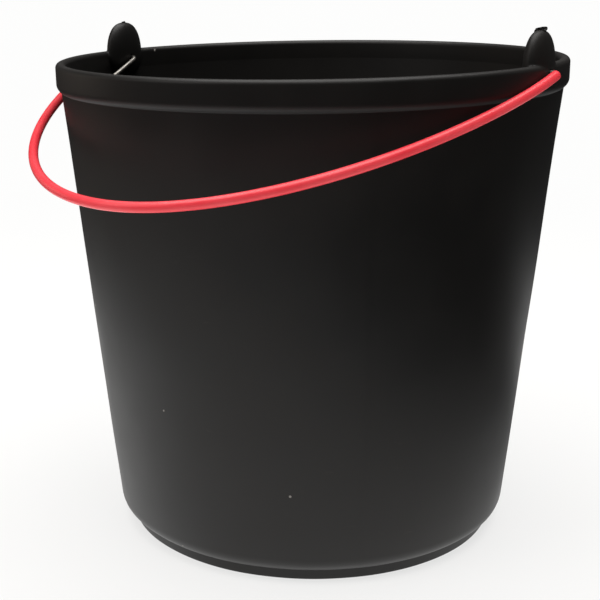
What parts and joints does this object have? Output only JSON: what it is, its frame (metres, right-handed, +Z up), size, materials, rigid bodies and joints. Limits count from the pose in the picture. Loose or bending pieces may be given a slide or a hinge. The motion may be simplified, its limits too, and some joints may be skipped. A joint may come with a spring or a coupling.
{
  "type": "florist bucket",
  "caption": "Tapered round bucket with a solid collar and upright ears, and a swinging wire bail in a plastic sleeve.",
  "frame": {"origin": "middle of the base, on the surface that the bucket stands on", "axes": "+Z up the bucket's axis; X through both ears, along the bail's pivot axis; the bail rests towards -Y"},
  "size_m": [0.3136, 0.3411, 0.3025],
  "materials": {
    "black_plastic": "satin-matt moulded low-density polyethylene, softly marked by use",
    "bare_steel": "drawn galvanised steel wire",
    "coral_plastic": "semi-gloss soft PVC tube"
  },
  "bodies": {
    "bucket": {"bucket_body": "black_plastic"},
    "bail": {"bail_wire": "bare_steel", "bail_sleeve": "coral_plastic"}
  },
  "joints": [
    {"name": "bail_swing", "type": "hinge", "parent": "bucket", "child": "bail", "pos_m": [0, 0, 0.2805], "axis": [-1, 0, 0], "range_deg": [0, 212]}
  ]
}
